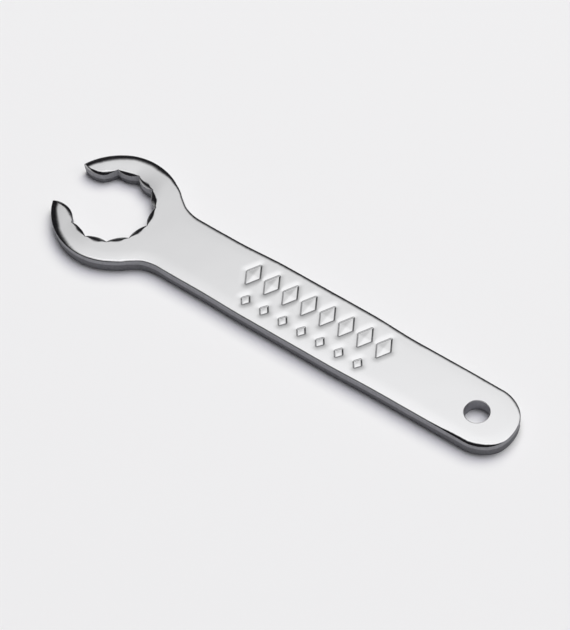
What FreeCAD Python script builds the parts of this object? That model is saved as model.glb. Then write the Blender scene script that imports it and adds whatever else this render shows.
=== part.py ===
import FreeCAD, Part
import math
import os

# Saddle tension spanner, stamped from one plate, in millimetres.
# The origin is the jaw's centre on the underside. +X runs down the handle and +Z is up.

# Jaw: a twelve-point opening with a wide mouth on the -X side.
ACROSS_FLATS = 14.0
NOTCH_STEP = 30.0
NOTCHES_PER_SIDE = 4
MOUTH_WIDTH = 8.7
ARM_END_RADIUS = 4.2

# Head and handle outline.
HEAD_RADIUS = 12.2
HEAD_OFFSET = 1.1
NECK_RADIUS = 8.0
HANDLE_WIDTH = 12.6
HANDLE_LENGTH = 88.4
HANG_HOLE_DIAMETER = 4.6
HANG_HOLE_FROM_END = 7.7

# The press that marks the handle spreads its edges a little.
SWELL_START = 26.0
SWELL_END = 64.0
SWELL_RAMP = 11.0
SWELL_LEFT = 0.35
SWELL_RIGHT = 0.2

# Plate and the blanked edge: rolled at the top, upright, then broken inwards below.
THICKNESS = 3.0
BREAK_DEPTH = 1.5
BREAK_INSET = 0.1
TIP_ROLL = 0.8
HEAD_ROLL = 0.6
HANDLE_ROLL = 0.3
NOTCH_ROLL = 0.1
LOBE_ROLL = 0.6
HOLE_ROLL = 0.12

# Pressed grip marks: large lozenges over a row of small ones, set between them.
MARK_START = 28.8
MARK_PITCH = 4.1
MARK_COUNT = 8
MARK_DEPTH = 0.3
MARK_SLOPE = 0.25
LARGE_MARK = (3.3, 5.6)
LARGE_MARK_Y = 1.95
SMALL_MARK = (2.1, 2.8)
SMALL_MARK_Y = -3.3

UP = FreeCAD.Vector(0, 0, 1)
JAW = FreeCAD.Vector(0, 0, 0)


def polar(radius, degrees):
    angle = math.radians(degrees)
    return FreeCAD.Vector(radius * math.cos(angle), radius * math.sin(angle), 0)


def mirrored(point):
    return FreeCAD.Vector(point.x, -point.y, point.z)


def line(start, end):
    return Part.LineSegment(start, end).toShape()


def arc(start, end, centre, radius):
    """Shorter arc between two points of a circle, bulging away from its centre."""
    outward = (start + end) * 0.5 - centre
    outward.normalize()
    return Part.Arc(start, centre + outward * radius, end).toShape()


def meet(centre_a, radius_a, centre_b, radius_b):
    """Where two circles cross, on the left of the way from the first centre to the second."""
    way = centre_b - centre_a
    distance = way.Length
    along = (radius_a ** 2 - radius_b ** 2 + distance ** 2) / (2 * distance)
    aside = math.sqrt(radius_a ** 2 - along ** 2)
    way.normalize()
    return centre_a + way * along + UP.cross(way) * aside


def lobe_circles():
    """Centres and radius of the rounded teeth between the notches of the jaw's upper half.

    Each tooth runs from notch to notch and has its crest where the two hexagons would cross.
    """
    half_step = math.radians(NOTCH_STEP / 2)
    notch_radius = ACROSS_FLATS / math.sqrt(3)
    crest_radius = ACROSS_FLATS / 2 / math.cos(half_step)
    half_chord = notch_radius * math.sin(half_step)
    rise = notch_radius * math.cos(half_step) - crest_radius
    lobe_radius = (half_chord ** 2 + rise ** 2) / (2 * rise)
    angles = [NOTCH_STEP * (index + 0.5) for index in range(NOTCHES_PER_SIDE)]
    return [polar(crest_radius + lobe_radius, angle) for angle in angles], lobe_radius


def arm_end_centre():
    """Centre of the rounded arm end, which leaves the last notch and sets the mouth's width."""
    last_notch = polar(ACROSS_FLATS / math.sqrt(3), NOTCH_STEP * NOTCHES_PER_SIDE)
    y = MOUTH_WIDTH / 2 + ARM_END_RADIUS
    reach = math.sqrt(ARM_END_RADIUS ** 2 - (y - last_notch.y) ** 2)
    return FreeCAD.Vector(last_notch.x - reach, y, 0)


def jaw_edges(inset):
    """Upper half of the jaw, from the notch beside the handle out to the arm's tip."""
    centres, lobe_radius = lobe_circles()
    radius = lobe_radius - inset
    end_centre = arm_end_centre()
    end_radius = ARM_END_RADIUS - inset
    corners = [meet(mirrored(centres[0]), radius, centres[0], radius)]
    for centre, following in zip(centres, centres[1:]):
        corners.append(meet(centre, radius, following, radius))
    corners.append(meet(centres[-1], radius, end_centre, end_radius))
    edges = []
    for centre, start, end in zip(centres, corners, corners[1:]):
        edges.append(arc(start, end, centre, radius))
    tip = arm_tip(inset)
    edges.append(arc(corners[-1], tip, end_centre, end_radius))
    return edges


def arm_tip(inset):
    """Sharp corner where the arm end meets the head's round outside."""
    head = FreeCAD.Vector(HEAD_OFFSET, 0, 0)
    return meet(head, HEAD_RADIUS - inset, arm_end_centre(), ARM_END_RADIUS - inset)


def head_edges(inset):
    """Round outside of the head and the hollow neck that runs into the handle."""
    head = FreeCAD.Vector(HEAD_OFFSET, 0, 0)
    neck_y = HANDLE_WIDTH / 2 + NECK_RADIUS
    reach = math.sqrt((HEAD_RADIUS + NECK_RADIUS) ** 2 - neck_y ** 2)
    neck = FreeCAD.Vector(HEAD_OFFSET + reach, neck_y, 0)
    head_radius = HEAD_RADIUS - inset
    neck_radius = NECK_RADIUS + inset
    neck_start = head + (neck - head) * (head_radius / (HEAD_RADIUS + NECK_RADIUS))
    neck_end = FreeCAD.Vector(neck.x, HANDLE_WIDTH / 2 - inset, 0)
    return [
        arc(arm_tip(inset), neck_start, head, head_radius),
        arc(neck_start, neck_end, neck, neck_radius),
    ]


def handle_edges(inset, swell):
    """Straight side of the handle, drawn out a little beside the pressed marks."""
    y = HANDLE_WIDTH / 2 - inset
    neck_end = head_edges(inset)[-1].lastVertex(True).Point
    swell_points = [
        FreeCAD.Vector(SWELL_START, y, 0),
        FreeCAD.Vector(SWELL_START + SWELL_RAMP, y + swell, 0),
        FreeCAD.Vector(SWELL_END - SWELL_RAMP, y + swell, 0),
        FreeCAD.Vector(SWELL_END, y, 0),
    ]
    level = [FreeCAD.Vector(1, 0, 0)] * len(swell_points)
    curve = Part.BSplineCurve()
    curve.interpolate(Points=swell_points, Tangents=level, TangentFlags=[True] * len(level))
    end_start = FreeCAD.Vector(HANDLE_LENGTH - HANDLE_WIDTH / 2, y, 0)
    return [
        line(neck_end, swell_points[0]),
        curve.toShape(),
        line(swell_points[-1], end_start),
    ]


def outline(inset, height):
    """Closed edge of the plate at one height, drawn in from its full size by the inset."""
    upper = jaw_edges(inset) + head_edges(inset) + handle_edges(inset, SWELL_LEFT)
    lower = jaw_edges(inset) + head_edges(inset) + handle_edges(inset, SWELL_RIGHT)
    lower = [edge.mirror(JAW, FreeCAD.Vector(0, 1, 0)) for edge in reversed(lower)]
    y = HANDLE_WIDTH / 2 - inset
    end_centre = FreeCAD.Vector(HANDLE_LENGTH - HANDLE_WIDTH / 2, 0, 0)
    end_start = end_centre + FreeCAD.Vector(0, y, 0)
    end_middle = end_centre + FreeCAD.Vector(y, 0, 0)
    handle_end = Part.Arc(end_start, end_middle, mirrored(end_start)).toShape()
    wire = Part.Wire(upper + [handle_end] + lower)
    wire.translate(UP * height)
    return wire


def blank():
    """The plate before its edges are rolled: upright above the break and drawn in below it."""
    break_height = THICKNESS - BREAK_DEPTH
    broken = Part.makeLoft([outline(BREAK_INSET, 0), outline(0, break_height)], True, True)
    upright = Part.Face(outline(0, break_height)).extrude(UP * BREAK_DEPTH)
    return broken.fuse(upright).Solids[0]


def corner_roll(point):
    """Roll of the top edge at one corner of the outline: large at the tips, least in a notch."""
    head_end = head_edges(0)[0].lastVertex(True).Point
    if point.x > head_end.x + 0.01:
        return HANDLE_ROLL
    if point.x > 0:
        return HEAD_ROLL
    return TIP_ROLL if point.x < arm_end_centre().x else NOTCH_ROLL


def top_edge_rolls(solid):
    """Numbers of the top edges outside the jaw's teeth, each with the roll at its two ends.

    The ends come in the order met on the way round from the upper arm's tip, and on an arm
    end from its notch.
    """
    tooth_reach = ACROSS_FLATS / math.sqrt(3) + 0.01
    rolls = []
    for number, edge in enumerate(solid.Edges, 1):
        first, last = [vertex.Point for vertex in edge.Vertexes]
        in_notch = [math.hypot(end.x, end.y) < tooth_reach for end in (first, last)]
        if min(first.z, last.z) < THICKNESS - 0.01 or all(in_notch):
            continue
        if max(first.y, last.y) < 0 and not any(in_notch):
            first, last = last, first
        rolls.append((number, corner_roll(first), corner_roll(last)))
    return rolls


def rolled(solid):
    """Rounds the top edge from arm tip to arm tip by way of the handle, and on both arm ends."""
    document = FreeCAD.newDocument("roll")
    base = document.addObject("Part::Feature", "base")
    base.Shape = solid
    fillet = document.addObject("Part::Fillet", "fillet")
    fillet.Base = base
    fillet.Edges = top_edge_rolls(solid)
    document.recompute()
    shape = fillet.Shape.copy()
    FreeCAD.closeDocument(document.Name)
    return shape


def lobe_roll_cutter():
    """Ring that rounds the jaw's teeth over, most at their crests and fading to the notches."""
    half_step = math.radians(NOTCH_STEP / 2)
    crest_radius = ACROSS_FLATS / 2 / math.cos(half_step)
    foot = FreeCAD.Vector(crest_radius, 0, THICKNESS - LOBE_ROLL)
    top = FreeCAD.Vector(crest_radius + LOBE_ROLL, 0, THICKNESS)
    centre = FreeCAD.Vector(top.x, 0, foot.z)
    round_middle = centre + FreeCAD.Vector(-1, 0, 1).normalize() * LOBE_ROLL
    above = FreeCAD.Vector(top.x, 0, THICKNESS + LOBE_ROLL)
    axis_above = FreeCAD.Vector(0, 0, above.z)
    axis_foot = FreeCAD.Vector(0, 0, foot.z)
    profile = Part.Wire([
        Part.Arc(foot, round_middle, top).toShape(),
        line(top, above),
        line(above, axis_above),
        line(axis_above, axis_foot),
        line(axis_foot, foot),
    ])
    sweep = NOTCH_STEP * NOTCHES_PER_SIDE
    ring = Part.Face(profile).revolve(JAW, UP, 2 * sweep)
    return ring.rotate(JAW, UP, -sweep)


def hang_hole():
    """Punched hole, with its top edge slightly rolled."""
    radius = HANG_HOLE_DIAMETER / 2
    centre = FreeCAD.Vector(HANDLE_LENGTH - HANG_HOLE_FROM_END, 0, 0)
    rim_foot = centre + UP * (THICKNESS - HOLE_ROLL)
    shaft = Part.makeCylinder(radius, THICKNESS, centre)
    rim = Part.makeCylinder(radius + HOLE_ROLL, HOLE_ROLL, rim_foot)
    return shaft.fuse(rim.cut(Part.makeTorus(radius + HOLE_ROLL, HOLE_ROLL, rim_foot)))


def mark(size, x, y):
    """Pressed lozenge with a flat floor and sloping walls."""
    def lozenge(length, height, z):
        corners = [(length / 2, 0), (0, height / 2), (-length / 2, 0), (0, -height / 2)]
        points = [FreeCAD.Vector(x + dx, y + dy, z) for dx, dy in corners]
        return Part.makePolygon(points + points[:1])
    length, height = size
    floor_scale = 1 - 2 * MARK_SLOPE / length
    floor = lozenge(length * floor_scale, height * floor_scale, THICKNESS - MARK_DEPTH)
    return Part.makeLoft([floor, lozenge(length, height, THICKNESS)], True, True)


def marks():
    """Grip pattern: a row of large lozenges, and small ones below them between their points."""
    shapes = []
    for index in range(MARK_COUNT):
        x = MARK_START + MARK_PITCH * (index + 0.5)
        shapes.append(mark(LARGE_MARK, x, LARGE_MARK_Y))
        if index:
            shapes.append(mark(SMALL_MARK, x - MARK_PITCH / 2, SMALL_MARK_Y))
    return shapes


def main():
    os.makedirs("parts", exist_ok=True)
    plate = rolled(blank())
    spanner = plate.cut([lobe_roll_cutter(), hang_hole()] + marks())
    spanner.Solids[0].exportStep("parts/spanner.step")


main()
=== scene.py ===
"""Saddle tension spanner: one plate of bright plated steel on a pale studio floor.

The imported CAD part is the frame. One finely meshed piece stands for its only node, with the
rolled, upright and broken parts of a blanked edge, and the pressed lozenges' soft rims.
The handle runs to +X. The +Y side is the far one from the camera, and the -Y side the near one.
"""
import math

import bpy
from bpy.props import FloatProperty, FloatVectorProperty, IntProperty, PointerProperty
from mathutils import Matrix, Vector, noise
from mathutils.geometry import delaunay_2d_cdt


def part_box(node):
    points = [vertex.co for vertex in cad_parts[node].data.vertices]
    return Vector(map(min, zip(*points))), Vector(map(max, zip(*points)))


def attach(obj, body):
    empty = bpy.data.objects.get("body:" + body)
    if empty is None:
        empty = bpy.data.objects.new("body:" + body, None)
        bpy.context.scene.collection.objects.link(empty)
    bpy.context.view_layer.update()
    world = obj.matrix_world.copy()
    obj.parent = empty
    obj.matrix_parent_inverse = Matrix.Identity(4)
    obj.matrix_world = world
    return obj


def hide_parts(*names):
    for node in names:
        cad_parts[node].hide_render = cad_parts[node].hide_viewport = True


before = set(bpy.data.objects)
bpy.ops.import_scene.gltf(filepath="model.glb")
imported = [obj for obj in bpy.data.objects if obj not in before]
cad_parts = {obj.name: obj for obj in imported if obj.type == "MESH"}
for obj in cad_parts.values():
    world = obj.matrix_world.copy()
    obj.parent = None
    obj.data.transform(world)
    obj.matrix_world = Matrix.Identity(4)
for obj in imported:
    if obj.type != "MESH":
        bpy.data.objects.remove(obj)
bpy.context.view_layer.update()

bl_info = {
    "name": "Saddle tension spanner",
    "version": (1, 0, 0),
    "blender": (4, 5, 0),
    "location": "3D View > Sidebar > Spanner",
    "description": "Builds a plated steel saddle spanner over its CAD frame, with its stage",
    "category": "Add Mesh",
}

MM = 0.001
NODE = "spanner"
# The solid's far corner: the handle's end and the plate's thickness.
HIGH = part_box(NODE)[1]

# Stretches of half the outline, counted from the notch beside the handle: the teeth, and then
# these. A corner of the outline has the number of the stretch that starts there.
TEETH = 4
ARM_END, HEAD, NECK, HANDLE, ROUND_END = range(TEETH, TEETH + 5)


def srgb(hex_colour):
    """Linear colour of an sRGB hex value such as "EFEFEF"."""
    channels = [int(hex_colour[i:i + 2], 16) / 255 for i in (0, 2, 4)]
    return tuple(c / 12.92 if c <= 0.04045 else ((c + 0.055) / 1.055) ** 2.4 for c in channels)


def smooth(low, high, value):
    """0 below low and 1 above high, with a soft start and end between them."""
    part = min(max((value - low) / (high - low), 0.0), 1.0)
    return part * part * (3 - 2 * part)


def blend(start, end, part):
    return start + (end - start) * part


def parts(count):
    """Parts of the way at the ends of equal steps."""
    return [number / count for number in range(1, count + 1)]


def steps(start, end, pitch):
    while start < end:
        yield start
        start += pitch


def setting(name, description, values, **kind):
    """A number for one value, and a row of numbers for more."""
    if len(values) == 1:
        return FloatProperty(name=name, description=description, default=values[0], **kind)
    return FloatVectorProperty(name=name, description=description, default=values,
                               size=len(values), **kind)


def length(name, description, *millimetres):
    return setting(name, description, [value * MM for value in millimetres], min=0.0,
                   unit="LENGTH", precision=5)


def side_lengths(name, description, far, near):
    return length(name, description + ", on the +Y and -Y side", far, near)


def angle(name, description, *degrees):
    return setting(name, description, [math.radians(value) for value in degrees],
                   unit="ROTATION")


def amount(name, description, *values):
    return setting(name, description, values, min=0.0)


def colour(name, description, hex_colour):
    return FloatVectorProperty(name=name, description=description, default=srgb(hex_colour),
                               min=0.0, max=1.0, size=3, subtype="COLOR")


class SpannerSizes(bpy.types.PropertyGroup):
    """Outline of the plate."""
    across_flats: length("Across flats", "Hexagon that the jaw takes", 14.0)
    notch_step: angle("Notch step", "Angle from notch to notch", 30)
    mouth_width: length("Mouth width", "Gap between the arm ends", 8.7)
    arm_end_radius: length("Arm end radius", "Round of the arm ends", 4.2)
    head_radius: length("Head radius", "Round outside of the head", 12.15)
    head_offset: length("Head offset", "Head centre beyond the jaw centre", 0.85)
    head_aside: length("Head aside", "How far the head stands to the +Y side", 0.12)
    head_skew: length("Head skew", "How far the head leans back on its +Y side", 0.09)
    jaw_back: side_lengths("Jaw back", "How far the last tooth and notch stand back", 0.26, 0.15)
    shoulder_fullness: length("Shoulder fullness", "How far the head stands out above the neck",
                              0.18)
    tip_reach: length("Tip reach", "How much longer the +Y arm is", 0.22)
    neck_radius: length("Neck radius", "Hollow between head and handle", 9.3)
    handle_width: length("Handle width", "Width away from the pressed marks", 12.78)
    handle_length: length("Handle length", "From the jaw centre to the end", HIGH.x / MM)
    end_taper: length("End taper", "How far the +Y side draws in towards the end", 0.09)
    end_fullness: length("End fullness", "How far the round end stands out at its corners", 0.2)
    hole_diameter: length("Hole diameter", "Hanging hole", 4.6)
    hole_from_end: length("Hole from end", "Hole centre to the handle's end", 7.7)
    thickness: length("Thickness", "Thickness of the plate", HIGH.z / MM)
    swell_ends: length("Swell ends", "Where pressing starts and stops widening the handle",
                       24.0, 64.0)
    swell_ramp: length("Swell ramp", "Length over which it comes and goes", 11.0)
    swell: side_lengths("Swell", "How far the handle widens", 0.4, 0.2)


class SpannerEdges(bpy.types.PropertyGroup):
    """The blanked edge: rolled over at the top, upright, then broken."""
    tip_roll: side_lengths("Tip roll", "Width of the roll at an arm's tip", 1.4, 1.5)
    shoulder_roll: side_lengths("Shoulder roll", "Its width where head meets neck", 0.42, 0.6)
    handle_roll: side_lengths("Handle roll", "Its width along the handle", 0.74, 0.42)
    round_roll: side_lengths("Round roll", "Its width where the round end starts", 0.6, 0.75)
    end_roll: length("End roll", "Its width at the middle of the handle's end", 0.22)
    arm_end_roll: length("Arm end roll", "Its width on the arm ends' inside", 0.85)
    notch_roll: length("Notch roll", "Its width in a notch", 0.12)
    hole_roll: length("Hole roll", "Its width round the hanging hole", 0.12)
    tooth_rolls: amount("Tooth rolls", "Widths over the tooth's rise, +Y side, from the middle",
                        1.6, 2.0, 1.55, 1.35)
    near_tooth_rolls: amount("Near tooth rolls", "The same on the -Y side",
                             1.75, 1.75, 2.15, 1.4)
    roll_slope: angle("Roll slope", "How steep a roll gets, on the +Y and -Y side", 15, 18)
    round_slope: angle("Round slope", "The same, on the -Y side of the handle's end", 34)
    tooth_slopes: angle("Tooth slopes", "The same on the teeth and arm end of the +Y side",
                        21, 31, 37, 37, 37)
    near_tooth_slope: angle("Near tooth slope", "The same on those of the -Y side", 17)
    corner_radius: length("Corner", "Round of the corner below a roll", 0.1)
    breaks: length("Breaks", "Depth of the break in the jaw, on the head, handle and its end",
                   1.8, 1.0, 1.55, 1.1)
    break_inset: length("Break inset", "How far the broken part runs in", 0.1)
    unevenness: amount("Unevenness", "Share by which a roll's width wanders", 0.12)
    raggedness: length("Raggedness", "Short, ragged change in a roll's width", 0.06)
    polish_drop: side_lengths("Polish drop", "How far polishing lowers the face at its edge",
                              0.02, 0.055)
    polish_reach: length("Polish reach", "How far in from the edge that reaches", 2.6)
    arm_dish: amount("Arm dish", "Slope of an arm's face to the mouth, on the +Y and -Y side",
                     0.042, 0.018)
    step: length("Mesh step", "Distance between points round the edge", 0.2)


class SpannerMarks(bpy.types.PropertyGroup):
    """Pressed grip marks: a row of large lozenges and a row of small ones."""
    start: length("Start", "Where the rows begin along the handle", 28.8)
    pitch: length("Pitch", "Distance from lozenge to lozenge", 4.1)
    count: IntProperty(name="Count", description="Large lozenges in the row", default=8, min=1)
    depth: length("Depth", "Depth of the pressing", 0.3)
    slope: length("Slope", "Width of the sloping walls", 0.25)
    large_size: length("Large size", "Large lozenge along and across the handle", 3.3, 5.6)
    small_size: length("Small size", "Small lozenge along and across the handle", 2.1, 2.8)
    rows: length("Rows", "How far the large row lies to +Y, and the small one to -Y", 1.95, 3.3)
    corner: length("Corner", "Round of the lozenges' corners", 0.3)
    crown: amount("Crown", "Slope of a mark's floor up to its middle", 0.05)
    sink: length("Sink", "How far the face dips beside a mark", 0.06)
    sink_reach: length("Sink reach", "How far that dip reaches", 1.2)


class SpannerFinish(bpy.types.PropertyGroup):
    """Colours and gloss of the plated steel."""
    plate: colour("Plated face", "Bright plating over a polished face", "E6E6E7")
    upright: colour("Upright edge", "Plating over the sheared edge", "ABABAF")
    # The torn edge's dark colour comes partly from its rough, thin plating and partly from painted
    # shade at the foot of the wall.
    broken: colour("Broken edge", "Plating over the torn edge", "8A8A8E")
    roughness: amount("Roughness", "Roughness of the face, upright edge, broken edge and hole",
                      0.12, 0.8, 0.85, 0.58)


class SpannerStage(bpy.types.PropertyGroup):
    """Floor, light and camera."""
    floor: colour("Floor", "Pale matt card", "EFEFEF")
    surround: colour("Surround", "Dark room round the light", "1C1B1E")
    heading: angle("Heading", "Camera's turn about the vertical", 40.77)
    elevation: angle("Elevation", "Camera's height over the floor", 56.22)
    roll: angle("Roll", "Camera's turn about its own view", -6.12)
    distance: length("Distance", "From the camera to the point it looks at", 553.9)
    focal_length: amount("Focal length", "Lens, in millimetres", 176.6)
    target: setting("Target", "Point that the camera looks at",
                    (40.81 * MM, -2.07 * MM, 3.0 * MM), subtype="TRANSLATION")
    light_heading: angle("Light heading", "Turn of the overhead light", 6)
    softbox: amount("Softbox", "Brightness of the soft overhead light", 1.17)
    horizon: amount("Horizon", "Brightness low down all round", 0.6)
    front_card: amount("Front card", "Brightness of the low card in front", 0.5)
    lamp_size: length("Lamp size", "Each lamp's sides, across and along its lean", 4000, 2350)
    lamp_distance: length("Lamp distance", "From a lamp to what the camera looks at", 5000)
    lamp_power: amount("Lamp power", "Each lamp's power, in watts", 122.0)
    lamp_leans: angle("Lamp leans", "Cool and warm lamp's angle off the vertical", 11.5, 38.5)
    cool_lamp: colour("Cool lamp", "Colour of the lamp overhead", "F4F3FF")
    warm_lamp: colour("Warm lamp", "Colour of the lamp that leans far", "FFFFF3")


def meet(circle_a, circle_b, inset_a, inset_b):
    """Where two drawn-in circles cross, on the left of the way from the first to the second."""
    (centre_a, radius_a), (centre_b, radius_b) = circle_a, circle_b
    radius_a -= inset_a
    radius_b -= inset_b
    way = centre_b - centre_a
    distance = way.length
    along = (radius_a ** 2 - radius_b ** 2 + distance ** 2) / (2 * distance)
    aside = math.sqrt(radius_a ** 2 - along ** 2)
    way.normalize()
    return centre_a + way * along + Vector((-way.y, way.x)) * aside


class Outline:
    """Half of the plate's edge, from the notch beside the handle to the handle's end."""

    def __init__(self, sizes):
        self.sizes = sizes
        half_step = sizes.notch_step / 2
        notch_radius = sizes.across_flats / math.sqrt(3)
        crest_radius = sizes.across_flats / 2 / math.cos(half_step)
        half_chord = notch_radius * math.sin(half_step)
        self.notch_reach = notch_radius * math.cos(half_step)
        self.tooth_rise = self.notch_reach - crest_radius
        tooth_radius = (half_chord ** 2 + self.tooth_rise ** 2) / (2 * self.tooth_rise)
        reach = crest_radius + tooth_radius
        turns = [sizes.notch_step * (tooth + 0.5) for tooth in range(TEETH)]
        self.teeth = [(Vector((math.cos(a), math.sin(a))) * reach, tooth_radius) for a in turns]

        last = sizes.notch_step * TEETH
        last_notch = Vector((math.cos(last), math.sin(last))) * notch_radius
        end_y = sizes.mouth_width / 2 + sizes.arm_end_radius
        end_reach = math.sqrt(sizes.arm_end_radius ** 2 - (end_y - last_notch.y) ** 2)
        self.arm_end = (Vector((last_notch.x - end_reach, end_y)), sizes.arm_end_radius)

        self.half_width = sizes.handle_width / 2
        head_centre = Vector((sizes.head_offset, 0))
        neck_y = self.half_width + sizes.neck_radius
        neck_x = math.sqrt((sizes.head_radius + sizes.neck_radius) ** 2 - neck_y ** 2)
        self.head = (head_centre, sizes.head_radius)
        self.neck = (head_centre + Vector((neck_x, neck_y)), sizes.neck_radius)
        self.handle_end = (Vector((sizes.handle_length - self.half_width, 0)), self.half_width)
        self.stretches = self.teeth + [self.arm_end, self.head, self.neck, None, self.handle_end]

    def corner(self, index, before, after):
        """Corner of the half outline, where the stretches before and after it are drawn in."""
        if index == 0:
            centre, radius = self.teeth[0]
            return meet((Vector((centre.x, -centre.y)), radius), self.teeth[0], before, after)
        if index == HEAD:
            return meet(self.head, self.arm_end, after, before)
        if index < HEAD:
            return meet(self.stretches[index - 1], self.stretches[index], before, after)
        if index == NECK:
            way = (self.neck[0] - self.head[0]).normalized()
            return self.head[0] + way * (self.head[1] - before)
        if index > ROUND_END:
            return Vector((self.sizes.handle_length - before, 0))
        centre, _ = self.neck if index == HANDLE else self.handle_end
        return Vector((centre.x, self.half_width - before))

    def swell(self, x, side):
        """How far pressing the marks has pushed the handle's side out."""
        start, end = self.sizes.swell_ends
        ramp = self.sizes.swell_ramp
        change = smooth(start, start + ramp, x) - smooth(end - ramp, end, x)
        return self.sizes.swell[side < 0] * change

    def point(self, index, part, side, inset=0.0, start_insets=(0, 0), end_insets=(0, 0)):
        """Point part of the way along a stretch, drawn in there and at the stretch's corners."""
        start = self.corner(index, *start_insets)
        end = self.corner(index + 1, *end_insets)
        circle = self.stretches[index]
        if circle is None:
            x = blend(start.x, end.x, part)
            return Vector((x, side * (self.half_width + self.swell(x, side) - inset)))
        centre, radius = circle
        first, last = [math.atan2(p.y - centre.y, p.x - centre.x) for p in (start, end)]
        heading = first + part * ((last - first + math.pi) % (2 * math.pi) - math.pi)
        radius += inset if index == NECK else -inset
        place = centre + Vector((math.cos(heading), math.sin(heading))) * radius
        return Vector((place.x, side * place.y))

    def edge_distance(self, place):
        """How far a point lies inside the outer edge, with the jaw's own edge left out."""
        x, y = place.x, abs(place.y)
        neck_centre = self.neck[0]
        end_centre = self.handle_end[0]
        if x > end_centre.x:
            return self.half_width - math.hypot(x - end_centre.x, y)
        if x > neck_centre.x:
            return self.half_width + self.swell(x, place.y) - y
        if x < self.corner(NECK, 0.0, 0.0).x:
            return self.head[1] - math.hypot(x - self.head[0].x, y)
        return math.hypot(x - neck_centre.x, y - neck_centre.y) - self.neck[1]

    def stations(self, step):
        """Places round the whole edge, as stretch, part of the way along it and side."""
        half = []
        least = 8
        for index in range(len(self.stretches)):
            places = [self.point(index, part / least, 1) for part in range(least + 1)]
            reach = sum((b - a).length for a, b in zip(places, places[1:]))
            count = max(least, round(reach / step))
            half += [(index, part / count, 1) for part in range(count)]
        other_half = [(index, part, -1) for index, part, _ in reversed(half[1:])]
        return half + [(ROUND_END, 1.0, 1)] + other_half


SIDE_CHANGE = (6 * MM, -6 * MM)


def near_side(y):
    """0 on the +Y side, 1 on the -Y side, with a soft change across the handle's end."""
    return smooth(*SIDE_CHANGE, y)


# How a roll's width runs over a tooth: a power of 4 * part * (1 - part), so that it dies out in
# the notches. The third tooth of the +Y side has a roll that leans to one end.
TOOTH_ROLL_POWER = 1.4
LEANING_TOOTH = 2
LEANING_WIDTHS = (1.3, 0.7)

# Parts of the way along a stretch between which its roll's width changes. A pair of pairs, and
# a pair of single values, are for the +Y and the -Y side.
ARM_END_RISE = (0.0, 0.4)
ARM_END_FALL = (0.5, 1.0)
ARM_END_LOSS = (0.55, 0.15)
HEAD_CHANGE = ((0.58, 1.0), (0.2, 0.65))
NECK_CHANGE = (0.4, 1.0)
HANDLE_CHANGE_STARTS = (0.55, 0.88)
ROUND_END_CHANGE = (0.35, 0.8)
ROUND_SLOPE_END = (0.7, 1.0)

# Places along the handle between which the depth of the break changes.
HANDLE_BREAK_START = (6 * MM, 20 * MM)
END_BREAK_START = (70 * MM, 84 * MM)


def roll_width(outline, edges, index, part, y):
    """Width of the rolled top edge at a place on the outline."""
    if index < ARM_END:
        tooth_share = (edges.tooth_rolls if y > 0 else edges.near_tooth_rolls)[index]
        tooth_share *= (4 * part * (1 - part)) ** TOOTH_ROLL_POWER
        if y > 0 and index == LEANING_TOOTH:
            tooth_share *= blend(*LEANING_WIDTHS, part)
        return edges.notch_roll + tooth_share * outline.tooth_rise
    near = near_side(y)
    if index == ARM_END:
        kept = 1 - blend(*ARM_END_LOSS, near) * smooth(*ARM_END_FALL, part)
        return blend(edges.notch_roll, edges.arm_end_roll, smooth(*ARM_END_RISE, part) * kept)
    shoulder = blend(*edges.shoulder_roll, near)
    if index == HEAD:
        changes = [smooth(*change, part) for change in HEAD_CHANGE]
        return blend(blend(*edges.tip_roll, near), shoulder, blend(*changes, near))
    handle = blend(*edges.handle_roll, near)
    if index == NECK:
        return blend(shoulder, handle, blend(smooth(*NECK_CHANGE, part), part, near))
    round_roll = blend(*edges.round_roll, near)
    if index == HANDLE:
        return blend(handle, round_roll, smooth(blend(*HANDLE_CHANGE_STARTS, near), 1.0, part))
    return blend(round_roll, edges.end_roll, smooth(*ROUND_END_CHANGE, part))


def roll_shape(edges, index, part, side, y):
    """How steep the rolled top edge gets at a place on the outline, and how full it is.

    Its fullness is 0 where the slope grows evenly, and 1 where it grows fast and then holds.
    """
    if index < HEAD:
        if y > 0:
            return edges.tooth_slopes[index], 1.0 if index < LEANING_TOOTH else 0.0
        return edges.near_tooth_slope, 1.0
    steep = 0.0
    if side < 0 and index == HANDLE:
        steep = smooth(HANDLE_CHANGE_STARTS[1], 1.0, part)
    if side < 0 and index == ROUND_END:
        steep = 1 - smooth(*ROUND_SLOPE_END, part)
    near = near_side(y)
    fullness = {HEAD: 1 - near, NECK: (1 - near) * (1 - part)}.get(index, 0.0)
    return blend(blend(*edges.roll_slope, near), edges.round_slope, steep), fullness


def break_depth(edges, index, x):
    """Depth from the face to the line where the shear ends and the tear begins."""
    jaw, head, handle, end = edges.breaks
    if index < HEAD:
        return jaw
    return blend(blend(head, handle, smooth(*HANDLE_BREAK_START, x)), end,
                 smooth(*END_BREAK_START, x))


# Distance between points along a lozenge, and how far outside its edge the loops round it lie,
# with those at an end of the wall a hair short of it.
MARK_STEP = 0.22 * MM
MARK_LOOPS = [value * MM * 0.999 for value in
              (0.28, 0.16, 0.07, 0.0, -0.04, -0.08, -0.12, -0.16, -0.2, -0.25, -0.3)]


def lozenges(marks):
    """Centre and half sizes of each pressed lozenge."""
    places = []
    large, small = [[value / 2 for value in size] for size in (marks.large_size, marks.small_size)]
    large_row, small_row = marks.rows
    for index in range(marks.count):
        x = marks.start + marks.pitch * (index + 0.5)
        places.append((Vector((x, large_row)), large))
        if index:
            places.append((Vector((x - marks.pitch / 2, -small_row)), small))
    return places


def core(half_sizes, corner):
    """Half sizes of the lozenge that lies inside by the corner's round."""
    half_length, half_height = half_sizes
    slant = math.hypot(half_length, half_height)
    scale = 1 - corner * slant / (half_length * half_height)
    return half_length * scale, half_height * scale


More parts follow.
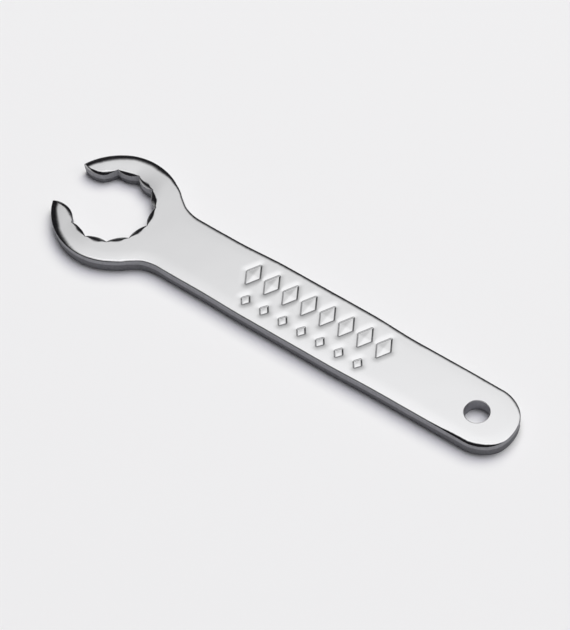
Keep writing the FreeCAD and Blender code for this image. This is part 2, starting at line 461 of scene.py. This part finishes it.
def lozenge_ring(centre, half_sizes, corner, outside):
    """Closed loop round a lozenge with rounded corners, at a distance outside its edge."""
    core_length, core_height = core(half_sizes, corner)
    corners = [Vector((core_length, 0)), Vector((0, core_height)),
               Vector((-core_length, 0)), Vector((0, -core_height))]
    normals = [Vector((core_height * sx, core_length * sy)).normalized()
               for sx, sy in ((1, 1), (-1, 1), (-1, -1), (1, -1))]
    turns = 4
    count = max(turns, round(math.hypot(*half_sizes) / MARK_STEP))
    reach = corner + outside
    loop = []
    for index, place in enumerate(corners):
        before, after = normals[index - 1], normals[index]
        loop += [centre + place + before.slerp(after, turn / turns) * reach
                 for turn in range(turns + 1)]
        following = corners[(index + 1) % len(corners)]
        loop += [centre + place.lerp(following, along / count) + after * reach
                 for along in range(1, count)]
    return loop


def lozenge_distance(place, half_sizes, corner):
    """Distance outside a lozenge's rounded edge, less than nothing inside."""
    core_length, core_height = core(half_sizes, corner)
    mirrored = Vector((abs(place.x), abs(place.y)))
    end = Vector((core_length, 0))
    side = Vector((-core_length, core_height))
    along = min(max((mirrored - end).dot(side) / side.length_squared, 0), 1)
    distance = (mirrored - (end + side * along)).length
    inside = abs(place.x) / core_length + abs(place.y) / core_height < 1
    return (-distance if inside else distance) - corner


def pressed(marks, places, point):
    """Depth of the face at a point, from the marks and the dips beside them."""
    depth = 0.0
    for centre, half_sizes in places:
        offset = point - centre
        if any(abs(off) > half + marks.sink_reach for off, half in zip(offset, half_sizes)):
            continue
        outside = lozenge_distance(offset, half_sizes, marks.corner)
        nearness = min(max(1 - outside / marks.sink_reach, 0.0), 1.0)
        wall = smooth(0, marks.slope, -outside)
        crown = marks.crown * max(0.0, -outside - marks.slope)
        depth = max(depth, blend(marks.sink * nearness ** 2, marks.depth, wall) - crown)
    return depth


class Plate:
    """Gathers the spanner's points and faces."""

    FACE, UPRIGHT, BROKEN, PUNCHED = range(4)

    def __init__(self):
        self.points, self.faces, self.finishes = [], [], []

    def ring(self, places):
        start = len(self.points)
        self.points += places
        return list(range(start, len(self.points)))

    def bands(self, rings):
        """Faces down a row of rings, each given with the finish of the band above it.

        Returns the first ring and the last.
        """
        for (above, _), (below, finish) in zip(rings, rings[1:]):
            for index in range(len(above)):
                before = index - 1
                self.faces.append((above[before], above[index], below[index], below[before]))
                self.finishes.append(finish)
        return rings[0][0], rings[-1][0]

    def flat(self, loops, spare, height, upward):
        """Triangles between loops of points, with spare points inside at a height for each.

        The second loop is the hanging hole's rim, so what lies inside it is left out.
        """
        ids = [number for loop in loops for number in loop]
        flat_points = [Vector(self.points[number][:2]) / MM for number in ids]
        edges = []
        start = 0
        for loop in loops:
            size = len(loop)
            edges += [(start + i, start + (i + 1) % size) for i in range(size)]
            start += size
        ids += self.ring([Vector((*p, height(p))) for p in spare])
        flat_points += [p / MM for p in spare]
        inside_only, too_close = 1, 1e-6
        made = delaunay_2d_cdt(flat_points, edges, [], inside_only, too_close)
        source = [ids[numbers[0]] for numbers in made[3]]
        hole = set(loops[1])
        for triangle in made[2]:
            corners = [source[number] for number in triangle]
            if hole.issuperset(corners):
                continue
            self.faces.append(tuple(corners if upward else reversed(corners)))
            self.finishes.append(self.FACE)


# Noise on the edge: the size of its bumps, and a height of its own at which it is sampled.
WIDTH_NOISE = (2.2 * MM, 3 * MM)
RAGGED_WIDTH_NOISE = (0.5 * MM, 9 * MM)
LINE_NOISE = (2.5 * MM, 0.0)
RAGGED_LINE_NOISE = (0.5 * MM, 5 * MM)
TEAR_NOISE = (0.45 * MM, 2 * MM)


def pattern(place, kind, part=1.0):
    """Noise of one kind at a place, at a part of that kind's height."""
    size, height = kind
    return noise.noise(Vector((place.x, place.y, height * part)) / size)


class BlankedEdge:
    """The plate's edge in rings: rolled over, then a small corner, upright, and torn."""

    ROLL_RINGS, CORNER_RINGS, TEAR_RINGS = 10, 5, 6
    RIM_INSET = 0.1 * MM
    RAGGED_FROM = 0.3 * MM
    LINE_WANDER = 0.12 * MM
    LINE_RAGGEDNESS = 0.05 * MM
    LEAST_UPRIGHT = 0.2 * MM
    TEAR_START, TEAR_LEDGE, TEAR_SWING = 0.06, 0.3, 0.35

    def __init__(self, plate, outline, edges, thickness):
        self.plate, self.outline, self.edges, self.thickness = plate, outline, edges, thickness
        self.stations = outline.stations(edges.step)
        self.places = [outline.point(*station) for station in self.stations]
        self.widths = [self.width_at(*station) for station in self.stations]
        # The widths on both sides of the corners where each place's stretch starts and ends.
        self.corner_widths = [
            [(self.width_at(index + end - 1, 1.0, side), self.width_at(index + end, 0.0, side))
             for index, _, side in self.stations] for end in (0, 1)]
        self.leans, self.fullness = zip(*[roll_shape(edges, *station, place.y) for station, place
                                          in zip(self.stations, self.places)])
        self.depths = [0.0] * len(self.stations)
        self.rings = []
        self.roll()
        self.corner()
        self.shear_and_tear()

    def width_at(self, index, part, side):
        """Width of the roll, with its wander and its ragged line."""
        index = min(max(index, 0), ROUND_END)
        place = self.outline.point(index, part, side)
        width = roll_width(self.outline, self.edges, index, part, place.y)
        ragged = self.edges.raggedness * min(1.0, width / self.RAGGED_FROM)
        wander = 1 + self.edges.unevenness * pattern(place, WIDTH_NOISE)
        return width * wander + ragged * pattern(place, RAGGED_WIDTH_NOISE)

    def corner_radius(self, width, lean):
        """Radius of the corner below a roll, which takes half of a narrow roll."""
        return min(self.edges.corner_radius, width / 2 / (1 - math.sin(lean)))

    def corner_inset(self, width, lean, part=0.0):
        """Inset a part of the way round that corner."""
        return self.corner_radius(width, lean) * (1 - math.sin(blend(lean, math.pi / 2, part)))

    def ring(self, finish, heights, insets, starts, ends):
        """Lays a ring drawn in at each place, and at both corners of its stretch."""
        found = [Vector((*self.outline.point(*station, *drawn_in), height)) for
                 station, height, *drawn_in in zip(self.stations, heights, insets, starts, ends)]
        self.rings.append((self.plate.ring(found), finish))

    def rolled_ring(self, finish, inset_at):
        """Lays a ring at the present depths, with an inset for each roll's width and slope."""
        insets = [inset_at(width, lean) for width, lean in zip(self.widths, self.leans)]
        corners = [[[inset_at(width, lean) for width in pair]
                    for pair, lean in zip(pairs, self.leans)] for pairs in self.corner_widths]
        self.ring(finish, [self.thickness - depth for depth in self.depths], insets, *corners)

    def upright_ring(self, finish, heights, insets):
        corners = [(inset, inset) for inset in insets]
        self.ring(finish, heights, insets, corners, corners)

    def roll(self):
        """Rings from the rim of the face down the roll."""
        self.rolled_ring(None, lambda width, lean: width + self.RIM_INSET)
        self.rolled_ring(Plate.FACE, lambda width, lean: width)
        for part in parts(self.ROLL_RINGS):
            self.depths = [math.tan(lean) * (width - self.corner_inset(width, lean))
                           * blend(part ** 2 / 2, part ** 2 - part ** 3 / 3, full)
                           for width, lean, full in zip(self.widths, self.leans, self.fullness)]
            self.rolled_ring(Plate.FACE, lambda width, lean: blend(
                width, self.corner_inset(width, lean), part))

    def corner(self):
        """Rings round the small corner below the roll, until the edge is upright."""
        drops = self.depths
        for number, part in enumerate(parts(self.CORNER_RINGS)):
            self.depths = [drop + self.corner_radius(width, lean)
                           * (math.cos(lean) - math.cos(blend(lean, math.pi / 2, part)))
                           for width, lean, drop in zip(self.widths, self.leans, drops)]
            self.rolled_ring(Plate.UPRIGHT if number else Plate.FACE,
                             lambda width, lean: self.corner_inset(width, lean, part))

    def shear_and_tear(self):
        """Rings down the upright part to its line, over a ledge and down the rough torn part."""
        lines = []
        for (index, _, _), place, depth in zip(self.stations, self.places, self.depths):
            line = break_depth(self.edges, index, place.x)
            line += self.LINE_WANDER * pattern(place, LINE_NOISE)
            line += self.LINE_RAGGEDNESS * pattern(place, RAGGED_LINE_NOISE)
            lines.append(self.thickness - max(line, depth + self.LEAST_UPRIGHT))
        for part in (0.5, 1.0):
            heights = [blend(self.thickness - depth, line, part)
                       for depth, line in zip(self.depths, lines)]
            self.upright_ring(Plate.UPRIGHT, heights, [0.0] * len(lines))
        for number, part in enumerate(parts(self.TEAR_RINGS)):
            ledge = blend(self.TEAR_LEDGE, 1.0, part) if number else self.TEAR_LEDGE
            swing = self.TEAR_SWING if part < 1 else 0.0
            insets = []
            for place in self.places:
                rough = 0.5 + 0.5 * pattern(place, TEAR_NOISE, part)
                insets.append(self.edges.break_inset * min(1.0, ledge + rough * swing))
            left = 1 - (part if number else self.TEAR_START)
            self.upright_ring(Plate.BROKEN, [line * left for line in lines], insets)


def hole_rings(plate, sizes, edges):
    """Rings down the punched hole, with their finishes."""
    count, roll_rings, foot_share = 96, 6, 0.4
    centre_x = sizes.handle_length - sizes.hole_from_end
    turns = [2 * math.pi * i / count for i in range(count)]

    def ring(inset, depth, finish):
        reach = sizes.hole_diameter / 2 + inset
        places = [Vector((centre_x + reach * math.cos(turn), reach * math.sin(turn),
                          sizes.thickness - depth)) for turn in turns]
        return plate.ring(places), finish

    roll = edges.hole_roll
    rings = [ring(roll * 2, 0.0, None), ring(roll, 0.0, Plate.FACE)]
    for part in parts(roll_rings):
        turn = math.pi / 2 * part
        rings.append(ring(roll * (1 - math.sin(turn)), roll * (1 - math.cos(turn)), Plate.FACE))
    rings.append(ring(0.0, edges.breaks[-1], Plate.PUNCHED))
    rings.append(ring(edges.break_inset * foot_share, sizes.thickness, Plate.PUNCHED))
    return rings


def polish_points(outline, edges):
    """Points of the face beside its outer edge, where polishing has rounded it off."""
    step, rows, first_row, row_pitch = 0.5 * MM, 5, 0.45 * MM, 0.4 * MM
    past_reach, past_notches, in_from_arm_end, past_arm_end = 0.3 * MM, 0.9 * MM, 1 * MM, 1 * MM
    arm_end_centre, arm_end_radius = outline.arm_end
    found = []
    for index, part, side in outline.stations(step):
        if index < HEAD:
            continue
        edge = outline.point(index, part, side)
        width = roll_width(outline, edges, index, part, edge.y)
        for row in range(rows):
            inset = width + first_row + row_pitch * row
            point = outline.point(index, part, side, inset)
            mirrored = Vector((point.x, abs(point.y)))
            on_arm = point.x < arm_end_centre.x + past_arm_end
            in_arm = (mirrored - arm_end_centre).length < arm_end_radius - in_from_arm_end
            if (inset <= edges.polish_reach + past_reach and (in_arm or not on_arm)
                    and point.length > outline.notch_reach + past_notches):
                found.append(point)
    return found


def polish_drop(outline, edges, point):
    """How far polishing has lowered a point of the face, at its edge and on the arms."""
    dish_fade, near_dish_lag, face_from, face_to = (6 * MM, -1 * MM), 4 * MM, 0.5, 0.8
    sizes = outline.sizes
    near = near_side(point.y)
    nearness = 1 - outline.edge_distance(point) / edges.polish_reach
    drop = blend(*edges.polish_drop, near) * min(max(nearness, 0.0), 1.0) ** 2
    to_mouth = max(0.0, sizes.head_radius - abs(point.y))
    on_arm = smooth(*dish_fade, point.x + near_dish_lag * near)
    drop += blend(*edges.arm_dish, near) * to_mouth * on_arm
    return drop * smooth(face_from * sizes.thickness, face_to * sizes.thickness, point.z)


# Where the outline is moved, as the ends of smooth steps: angles in degrees about the jaw's
# centre, distances from it, and places along and across the handle.
FAR_JAW_ANGLES = ((84, 98), (142, 126))
NEAR_JAW_ANGLES = ((-86, -96), (-116, -106))
JAW_REACH = (10.2 * MM, 8.6 * MM)
SHOULDER_ANGLES = ((57, 44), (30, 38))
SHOULDER_REACH = (9.5 * MM, 11.5 * MM)
HEAD_REACH = (8.7 * MM, 11 * MM)
HEAD_FADE = (20 * MM, 8 * MM)
TIP_FADE = (-5 * MM, -9.5 * MM)
TAPER_ALONG = (74 * MM, 83 * MM)
TAPER_ACROSS = (3 * MM, 5.5 * MM)
FULL_END_REACH = (0.55, 0.9)
FULL_END_GAIN = 5


def between(steps, value):
    return smooth(*steps[0], value) * smooth(*steps[1], value)


def head_shift(sizes, point):
    """How far a point of the head moves along and across the handle, off its plain arcs."""
    reach = math.hypot(point.x, point.y)
    turn = math.degrees(math.atan2(point.y, point.x))
    on_head = smooth(*HEAD_REACH, reach) * smooth(*HEAD_FADE, point.x)
    along = -sizes.head_skew * on_head * point.y / sizes.head_radius
    across = sizes.head_aside * on_head
    if point.y > 0:
        on_tip = smooth(*TIP_FADE, point.x)
        along -= sizes.tip_reach * on_tip
        across *= 1 - on_tip
    outward = sizes.jaw_back[0] * between(FAR_JAW_ANGLES, turn)
    outward += sizes.jaw_back[1] * between(NEAR_JAW_ANGLES, turn)
    outward *= smooth(*JAW_REACH, reach)
    outward += (sizes.shoulder_fullness * between(SHOULDER_ANGLES, abs(turn))
                * smooth(*SHOULDER_REACH, reach))
    return along + outward * point.x / reach, across + outward * point.y / reach


def end_shift(sizes, point):
    """The same at the handle's end, which tapers on one side and is fuller than a half circle."""
    across = -sizes.end_taper * smooth(*TAPER_ALONG, point.x) * smooth(*TAPER_ACROSS, point.y)
    half_width = sizes.handle_width / 2
    from_end = Vector((point.x - sizes.handle_length + half_width, point.y))
    if from_end.x <= 0:
        return 0.0, across
    reach = from_end.length
    corner = FULL_END_GAIN * (from_end.x ** 2 * from_end.y / reach ** 3) ** 2
    fuller = sizes.end_fullness * corner * smooth(*FULL_END_REACH, reach / half_width)
    return fuller * from_end.x / reach, across + fuller * from_end.y / reach


def finished(outline, edges, point):
    """A point of the plain plate, moved to the worn and uneven shape of the real one."""
    shifts = head_shift(outline.sizes, point), end_shift(outline.sizes, point)
    along, across = map(sum, zip(*shifts))
    return point.x + along, point.y + across, point.z - polish_drop(outline, edges, point)


def spare_points(marks, places, sizes):
    """Points that fill the face, close together round the marks and few elsewhere."""
    fine, coarse, past_marks, in_from_edge = 0.28 * MM, 1.5 * MM, 1.5 * MM, 1.3 * MM
    off_loops, beside_mark, off_hole = 0.36 * MM, 1 * MM, 0.5 * MM
    coarse_from, coarse_to = 13 * MM, sizes.handle_length - 5.5 * MM
    marks_end = marks.start + marks.pitch * marks.count
    reach_x = (marks.start - past_marks, marks_end + past_marks)
    edge = sizes.handle_width / 2 - in_from_edge
    found = []
    for row in range(int(2 * edge / fine) + 1):
        y = -edge + row * fine
        for x in steps(reach_x[0] + (fine / 2 if row % 2 else 0), reach_x[1], fine):
            point = Vector((x, y))
            if all(abs(lozenge_distance(point - centre, half, marks.corner)) >= off_loops
                   for centre, half in places if abs(x - centre.x) < half[0] + beside_mark
                   and abs(y - centre.y) < half[1] + beside_mark):
                found.append(point)
    hole_x = sizes.handle_length - sizes.hole_from_end
    off_centre = sizes.hole_diameter / 2 + off_hole
    for x in steps(-sizes.head_radius, coarse_to, coarse):
        on_marks = reach_x[0] - coarse / 2 < x < reach_x[1] + coarse / 2
        if x > coarse_from and not on_marks:
            found += [Vector((x, y)) for y in steps(-edge, edge, coarse)
                      if math.hypot(x - hole_x, y) > off_centre]
    return found


SHARP_ANGLE = math.radians(38)


def spanner_mesh(scene):
    """The whole spanner as one closed mesh, with four finishes."""
    sizes, edges, marks = scene.spanner_sizes, scene.spanner_edges, scene.spanner_marks
    outline = Outline(sizes)
    plate = Plate()
    rim, foot = plate.bands(BlankedEdge(plate, outline, edges, sizes.thickness).rings)
    hole_rim, hole_foot = plate.bands(hole_rings(plate, sizes, edges))
    places = lozenges(marks)

    def face_height(point):
        return sizes.thickness - pressed(marks, places, point)

    loops = [rim, hole_rim]
    for centre, half_sizes in places:
        for outside in MARK_LOOPS:
            loop = lozenge_ring(centre, half_sizes, marks.corner, outside)
            loops.append(plate.ring([Vector((*p, face_height(p))) for p in loop]))
    spare = spare_points(marks, places, sizes) + polish_points(outline, edges)
    plate.flat(loops, spare, face_height, True)
    plate.flat([foot, hole_foot], [], lambda point: 0.0, False)

    mesh = bpy.data.meshes.new("spanner_plate")
    points = [finished(outline, edges, point) for point in plate.points]
    mesh.from_pydata(points, [], plate.faces)
    mesh.polygons.foreach_set("material_index", plate.finishes)
    mesh.shade_smooth()
    mesh.set_sharp_from_angle(angle=SHARP_ANGLE)
    mesh.validate()
    return mesh


def add_node(tree, kind, values=(), links=(), **settings):
    """Adds a shader node with its settings, its sockets' values and the links into them.

    Where a link comes from a node, it comes from that node's first output.
    """
    node = tree.nodes.new("ShaderNode" + kind)
    for name, value in settings.items():
        setattr(node, name, value)
    for socket, value in dict(values).items():
        node.inputs[socket].default_value = value
    for socket, source in dict(links).items():
        output = source.outputs[0] if isinstance(source, bpy.types.Node) else source
        tree.links.new(output, node.inputs[socket])
    return node


def clear_tree(owner):
    """Empty node tree of a new material or world."""
    owner.use_nodes = True
    owner.node_tree.nodes.clear()
    return owner.node_tree


def plated_steel(name, shade, roughness, swing, grain, relief, waves=0.0, **values):
    """Metal whose grain swings its roughness by a share and stands up by its relief.

    The grain's sizes are along x, y and z. Waves are long shallow ones of that height under it.
    """
    material = bpy.data.materials.new(name)
    tree = clear_tree(material)
    place = add_node(tree, "TexCoord").outputs["Object"]
    scaled = add_node(tree, "Mapping", {"Scale": [1 / size for size in grain]}, {"Vector": place})
    height = add_node(tree, "TexNoise", {"Scale": 1.0, "Detail": 3.0}, {"Vector": scaled})
    gloss = add_node(tree, "MapRange", {"To Min": roughness * (1 - swing),
                                        "To Max": roughness * (1 + swing)}, {"Value": height})
    heights = {"Height": height}
    if waves:
        long = add_node(tree, "TexNoise", {"Scale": 1 / WAVE_LENGTH, "Detail": 1.0},
                        {"Vector": place})
        heights["Normal"] = add_node(tree, "Bump", {"Strength": 1.0, "Distance": waves},
                                     {"Height": long})
    bump = add_node(tree, "Bump", {"Strength": 1.0, "Distance": relief}, heights)
    shader = add_node(tree, "BsdfPrincipled",
                      {"Base Color": (*shade, 1), "Metallic": 1.0, **values},
                      {"Roughness": gloss, "Normal": bump})
    add_node(tree, "OutputMaterial", {}, {"Surface": shader})
    return material


# Real buffing lines and scores are some 0.02 mm wide, too fine to show at this size, so the
# grains are drawn as coarse as they need to be to show.
WAVE_LENGTH = 7.0 * MM
BUFFED_GRAIN = (0.4 * MM, 0.4 * MM, 0.4 * MM)
SHEARED_GRAIN = (0.3 * MM, 0.3 * MM, 2.5 * MM)
TORN_GRAIN = (0.3 * MM, 0.3 * MM, 0.6 * MM)


def spanner_materials(finish):
    """The spanner's finishes, in the order of their numbers in Plate."""
    dull = {"swing": 0.25, "Specular Tint": (0.5, 0.5, 0.5, 1)}
    face, sheared, torn, punched = finish.roughness
    return (
        # Bright nickel and chrome plate follows the ground and buffed face below it, so it
        # mirrors the room softly, with the long waves and the faint grain that buffing leaves.
        plated_steel("bright_plated_steel_face", finish.plate, face,
                     swing=0.2, grain=BUFFED_GRAIN, relief=0.0022 * MM, waves=0.012 * MM),
        # The die scores a sheared edge from top to bottom. Plate over it keeps the scores and
        # stays dull, so the upright band shows an even grey with upright streaks.
        plated_steel("plated_steel_sheared_edge", finish.upright, sheared,
                     grain=SHEARED_GRAIN, relief=0.01 * MM, **dull),
        # Torn steel is rough and plates thinly, so the band below is grainy and darker.
        # Its colour is darker still as painted shade, where shade falls at the wall's foot by the
        # floor.
        plated_steel("plated_steel_torn_edge_painted_shade", finish.broken, torn,
                     grain=TORN_GRAIN, relief=0.03 * MM, **dull),
        # A punch rubs the hole's wall smoother than the outer edge, so it has a soft sheen.
        plated_steel("plated_steel_punched_hole", finish.upright, punched,
                     grain=SHEARED_GRAIN, relief=0.01 * MM, **dull),
    )


def matt_card(shade):
    """Pale matt studio card. Uncoated, it takes a soft shadow and mirrors nothing."""
    material = bpy.data.materials.new("matt_white_card")
    tree = clear_tree(material)
    shader = add_node(tree, "BsdfPrincipled", {"Base Color": (*shade, 1), "Roughness": 1.0,
                                               "Specular IOR Level": 0.0})
    add_node(tree, "OutputMaterial", {}, {"Surface": shader})
    return material


class SPANNER_OT_plate(bpy.types.Operator):
    """Build the spanner in place of its CAD solid"""
    bl_idname = "spanner.plate"
    bl_label = "Spanner"

    def execute(self, context):
        scene = context.scene
        mesh = spanner_mesh(scene)
        piece = bpy.data.objects.new("spanner_plate", mesh)
        scene.collection.objects.link(piece)
        for material in spanner_materials(scene.spanner_finish):
            mesh.materials.append(material)
        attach(piece, "root")
        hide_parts(NODE)
        return {"FINISHED"}


# Where the light in the room begins and is full, in degrees: the softbox by its lean away from
# the camera and by its sides, one of which a flag cuts off, and the low lights by height.
BOX_LEANS = ((-8, 8), (53, 22))
BOX_SIDES = ((-47, -14), (-39, -25), (75, 45))
GLOW_HEIGHTS = (28, 3)
CARD_HEIGHTS = (48, 30)
CARD_SINES = (-0.1, -0.5)


def studio_room(stage):
    """Dark room with one wide soft light overhead, which leans away from the camera.

    The glow low down all round and the low card on the camera's side show in the plating only.
    """
    world = bpy.data.worlds.new("studio_room")
    tree = clear_tree(world)
    direction = add_node(tree, "TexCoord").outputs["Generated"]

    def along(axis):
        return add_node(tree, "VectorMath", {1: axis}, {0: direction},
                        operation="DOT_PRODUCT").outputs["Value"]

    def step(value, ends, top=1.0):
        return add_node(tree, "MapRange", {"From Min": ends[0], "From Max": ends[1],
                                           "To Max": top},
                        {"Value": value}, interpolation_type="SMOOTHSTEP")

    def calculate(operation, first, second):
        return add_node(tree, "Math", {}, {0: first, 1: second}, operation=operation)

    def sines(degrees):
        return [math.sin(math.radians(value)) for value in degrees]

    cosine, sine = math.cos(stage.light_heading), math.sin(stage.light_heading)
    away, aside, height = along((-sine, cosine, 0)), along((cosine, sine, 0)), along((0, 0, 1))
    lean = calculate("ARCTAN2", away, height)
    softbox, *others = [step(lean, [math.radians(value) for value in ends]) for ends in BOX_LEANS]
    for other in others + [step(aside, sines(ends)) for ends in BOX_SIDES]:
        softbox = calculate("MULTIPLY", softbox, other)
    card = calculate("MULTIPLY", step(height, sines(CARD_HEIGHTS), stage.front_card),
                     step(away, CARD_SINES))
    low = calculate("ADD", step(height, sines(GLOW_HEIGHTS), stage.horizon), card)
    ray = add_node(tree, "LightPath")
    seen = calculate("MAXIMUM", ray.outputs["Is Camera Ray"], ray.outputs["Is Glossy Ray"])
    strength = add_node(tree, "Math", {1: stage.softbox},
                        {0: softbox, 2: calculate("MULTIPLY", low, seen)},
                        operation="MULTIPLY_ADD")
    light = add_node(tree, "Background", {"Color": (1, 1, 1, 1)}, {"Strength": strength})
    room = add_node(tree, "Background", {"Color": (*stage.surround, 1)})
    both = add_node(tree, "AddShader", {}, {0: light, 1: room})
    add_node(tree, "OutputWorld", {}, {"Surface": both})
    return world


def add_aimed(scene, name, data, distance, heading, tilt, roll=0.0):
    """Adds a camera or lamp at a distance from the stage's target, turned to face it."""
    item = bpy.data.objects.new(name, data)
    turn = (Matrix.Rotation(heading, 4, "Z") @ Matrix.Rotation(tilt, 4, "X")
            @ Matrix.Rotation(roll, 4, "Z"))
    place = Matrix.Translation(scene.spanner_stage.target)
    item.matrix_world = place @ turn @ Matrix.Translation((0, 0, distance))
    scene.collection.objects.link(item)
    return item


def add_lamp(scene, name, lean, lamp_colour):
    """Large lamp that leans away from the camera. Metal mirrors the room and not the lamp."""
    stage = scene.spanner_stage
    lamp = bpy.data.lights.new(name, "AREA")
    lamp.shape = "RECTANGLE"
    lamp.size, lamp.size_y = stage.lamp_size
    lamp.energy = stage.lamp_power
    lamp.color = lamp_colour
    lamp_object = add_aimed(scene, name, lamp, stage.lamp_distance, stage.light_heading, -lean)
    lamp_object.visible_glossy = lamp_object.visible_camera = False


FLOOR_HALF = 3.0
FLOOR_GAP = 0.01 * MM


class SPANNER_OT_stage(bpy.types.Operator):
    """Lay the pale floor and set up the soft light and the camera"""
    bl_idname = "spanner.stage"
    bl_label = "Stage"

    def execute(self, context):
        scene = context.scene
        stage = scene.spanner_stage
        floor_mesh = bpy.data.meshes.new("floor")
        corners = [(x * FLOOR_HALF, y * FLOOR_HALF, -FLOOR_GAP)
                   for x, y in ((-1, -1), (1, -1), (1, 1), (-1, 1))]
        floor_mesh.from_pydata(corners, [], [(0, 1, 2, 3)])
        floor_mesh.materials.append(matt_card(stage.floor))
        floor = bpy.data.objects.new("floor", floor_mesh)
        scene.collection.objects.link(floor)

        scene.world = studio_room(stage)
        overhead_lean, far_lean = stage.lamp_leans
        add_lamp(scene, "overhead_lamp", overhead_lean, stage.cool_lamp)
        add_lamp(scene, "far_lamp", far_lean, stage.warm_lamp)

        lens = bpy.data.cameras.new("camera")
        lens.lens = stage.focal_length
        lens.sensor_width = 36
        lens.clip_start, lens.clip_end = 0.01, 20
        scene.camera = add_aimed(scene, "camera", lens, stage.distance, stage.heading,
                                 math.pi / 2 - stage.elevation, stage.roll)
        scene.view_settings.view_transform = "Standard"
        return {"FINISHED"}


class SPANNER_PT_panel(bpy.types.Panel):
    """Sizes, finishes and buttons for the spanner"""
    bl_idname = "SPANNER_PT_panel"
    bl_label = "Saddle spanner"
    bl_space_type = "VIEW_3D"
    bl_region_type = "UI"
    bl_category = "Spanner"

    def draw(self, context):
        layout = self.layout
        for group in GROUPS:
            box = layout.box()
            settings = getattr(context.scene, group)
            for name in type(settings).__annotations__:
                box.prop(settings, name)
        layout.operator("spanner.plate")
        layout.operator("spanner.stage")


GROUPS = {
    "spanner_sizes": SpannerSizes,
    "spanner_edges": SpannerEdges,
    "spanner_marks": SpannerMarks,
    "spanner_finish": SpannerFinish,
    "spanner_stage": SpannerStage,
}
CLASSES = (*GROUPS.values(), SPANNER_OT_plate, SPANNER_OT_stage, SPANNER_PT_panel)


def register():
    for item in CLASSES:
        bpy.utils.register_class(item)
    for name, group in GROUPS.items():
        setattr(bpy.types.Scene, name, PointerProperty(type=group))


def unregister():
    for name in GROUPS:
        delattr(bpy.types.Scene, name)
    for item in reversed(CLASSES):
        bpy.utils.unregister_class(item)


def main():
    register()
    bpy.ops.spanner.stage()
    bpy.ops.spanner.plate()


if __name__ == "__main__":
    main()
